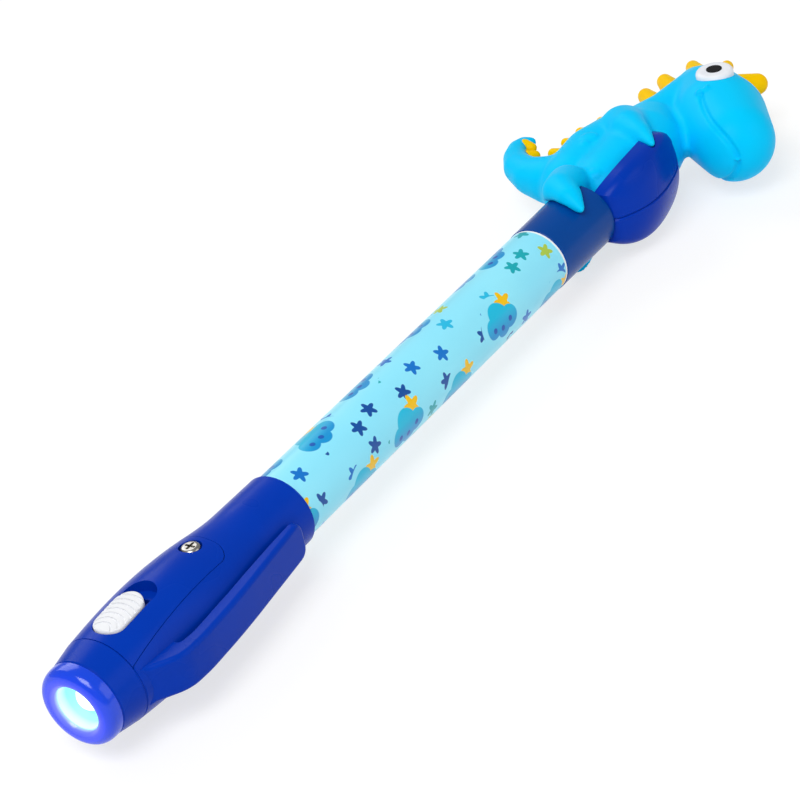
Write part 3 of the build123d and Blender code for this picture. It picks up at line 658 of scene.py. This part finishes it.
# Clip skin: the clip as moulded, with a bowed back and rounded edges
outline = bpy.data.curves.new("clip_skin", "CURVE")
outline.dimensions = "2D"
outline.fill_mode = "NONE"
line = outline.splines.new("BEZIER")
line.bezier_points.add(len(CLIP_OUTLINE) - 1)
for point, (along, across, handle) in zip(line.bezier_points, CLIP_OUTLINE):
    point.co = (along * MM, across * MM, 0)
    point.handle_left_type = handle
    point.handle_right_type = handle
line.use_cyclic_u = True
line.resolution_u = CLIP_STEPS
clip_skin = bpy.data.objects.new("clip_skin", outline)
bpy.context.scene.collection.objects.link(clip_skin)
take(clip_skin)
bpy.ops.object.convert(target="MESH")
bpy.ops.object.mode_set(mode="EDIT")
bpy.ops.mesh.select_mode(type="EDGE")
bpy.ops.mesh.select_all(action="SELECT")
bpy.ops.mesh.remove_doubles(threshold=MERGE)
bpy.ops.transform.translate(value=(0, 0, -CLIP_HALF * MM))
bpy.ops.mesh.edge_face_add()
bpy.ops.mesh.dissolve_limited(angle_limit=CLIP_STRAIGHT)
bpy.ops.mesh.select_all(action="SELECT")
bpy.ops.mesh.extrude_region_move(TRANSFORM_OT_translate={"value": (0, 0, 2 * CLIP_HALF * MM)})
bpy.ops.mesh.select_all(action="SELECT")
bpy.ops.mesh.normals_make_consistent(inside=False)
for rounding, belongs in ((CLIP_TIP_ROUND, at_clip_tip), (CLIP_ROUND, on_clip_back)):
    bpy.ops.mesh.select_all(action="DESELECT")
    bpy.ops.mesh.edges_select_sharp(sharpness=SHARP)
    bpy.ops.object.mode_set(mode="OBJECT")
    corners = clip_skin.data.vertices
    for face in clip_skin.data.polygons:
        face.select = False
    for edge in clip_skin.data.edges:
        one, other = (corners[corner].co / MM for corner in edge.vertices)
        edge.select = edge.select and belongs(one, other)
    bpy.ops.object.mode_set(mode="EDIT")
    bpy.ops.mesh.bevel(offset=rounding * MM, segments=CLIP_STEPS, affect="EDGES")
bpy.ops.object.mode_set(mode="OBJECT")
bpy.ops.object.shade_smooth_by_angle(angle=CLIP_SHARP)
apply(clip_skin, "WEIGHTED_NORMAL", keep_sharp=True)
clip_skin.data.materials.clear()
clip_skin.data.materials.append(royal_blue)
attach(clip_skin, "torch_cap")

# Studio: a pale floor under the pen, a white surround and soft lamps
bpy.ops.mesh.primitive_plane_add(size=FLOOR_BREADTH, location=(0, 0, cad_box[0][2]))
floor = bpy.context.active_object
floor.name = "floor"
# Matt white card: evenly pale to the eye, with only a soft shadow
floor_paint, tree, shader = new_material("white_card")
shader.inputs["Roughness"].default_value = 0.9
path = add(tree, "ShaderNodeLightPath")
seen = path.outputs["Is Camera Ray"]
for ray in ("Is Glossy Ray", "Is Transmission Ray"):
    seen = add(tree, "ShaderNodeMath", {0: seen, 1: path.outputs[ray]}, operation="MAXIMUM").outputs[0]
lift = add(tree, "ShaderNodeMath", {0: seen, 1: FLOOR_LIFT}, operation="MULTIPLY")
paper = add(
    tree,
    "ShaderNodeMix",
    {0: seen, 6: linear("#F4F4F4"), 7: linear("#9A9A9A")},
    data_type="RGBA",
)
tree.links.new(paper.outputs[2], shader.inputs["Base Color"])
shader.inputs["Emission Color"].default_value = linear("#FFFFFF")
tree.links.new(lift.outputs[0], shader.inputs["Emission Strength"])
floor.data.materials.append(floor_paint)

world = bpy.data.worlds.new("surround")
bpy.context.scene.world = world
world.use_nodes = True
tree = world.node_tree
tree.nodes.clear()
path = add(tree, "ShaderNodeLightPath")
shade = add(tree, "ShaderNodeBackground", {"Color": linear("#FFFFFF"), "Strength": SURROUND})
white = add(tree, "ShaderNodeBackground", {"Color": linear("#FFFFFF"), "Strength": 1.0})
pick = add(
    tree,
    "ShaderNodeMixShader",
    {0: path.outputs["Is Camera Ray"], 1: shade.outputs[0], 2: white.outputs[0]},
)
add(tree, "ShaderNodeOutputWorld", {"Surface": pick.outputs[0]})


def lamp(name, at, size, power):
    """A square soft lamp that faces the pen."""
    light = bpy.data.lights.new(name, "AREA")
    light.size = size
    light.energy = power
    made = bpy.data.objects.new(name, light)
    bpy.context.scene.collection.objects.link(made)
    made.location = at
    made.rotation_euler = (-Vector(at)).to_track_quat("-Z", "Y").to_euler()


lamp("key_softbox", (-0.5, -0.15, 0.75), 0.5, 5.5)
lamp("fill_softbox", (0.3, -0.8, 0.4), 0.6, 1.3)
lamp("back_softbox", (0.3, 0.7, 0.6), 0.6, 2.6)

# Camera, turned about its view as the photograph is
camera_data = bpy.data.cameras.new("camera")
camera_data.lens = CAMERA_LENS
camera_data.sensor_width = CAMERA_SENSOR
camera = bpy.data.objects.new("camera", camera_data)
bpy.context.scene.collection.objects.link(camera)
right = Vector((0, 0, 1)).cross(CAMERA_BACK).normalized()
up = CAMERA_BACK.cross(right).normalized()
tilted = right * math.cos(CAMERA_ROLL) + up * math.sin(CAMERA_ROLL)
level = Matrix((tilted, CAMERA_BACK.cross(tilted), CAMERA_BACK)).transposed()
camera.matrix_world = Matrix.Translation(CAMERA_AT) @ level.to_4x4()
bpy.context.scene.camera = camera
bpy.context.scene.view_settings.view_transform = "Standard"
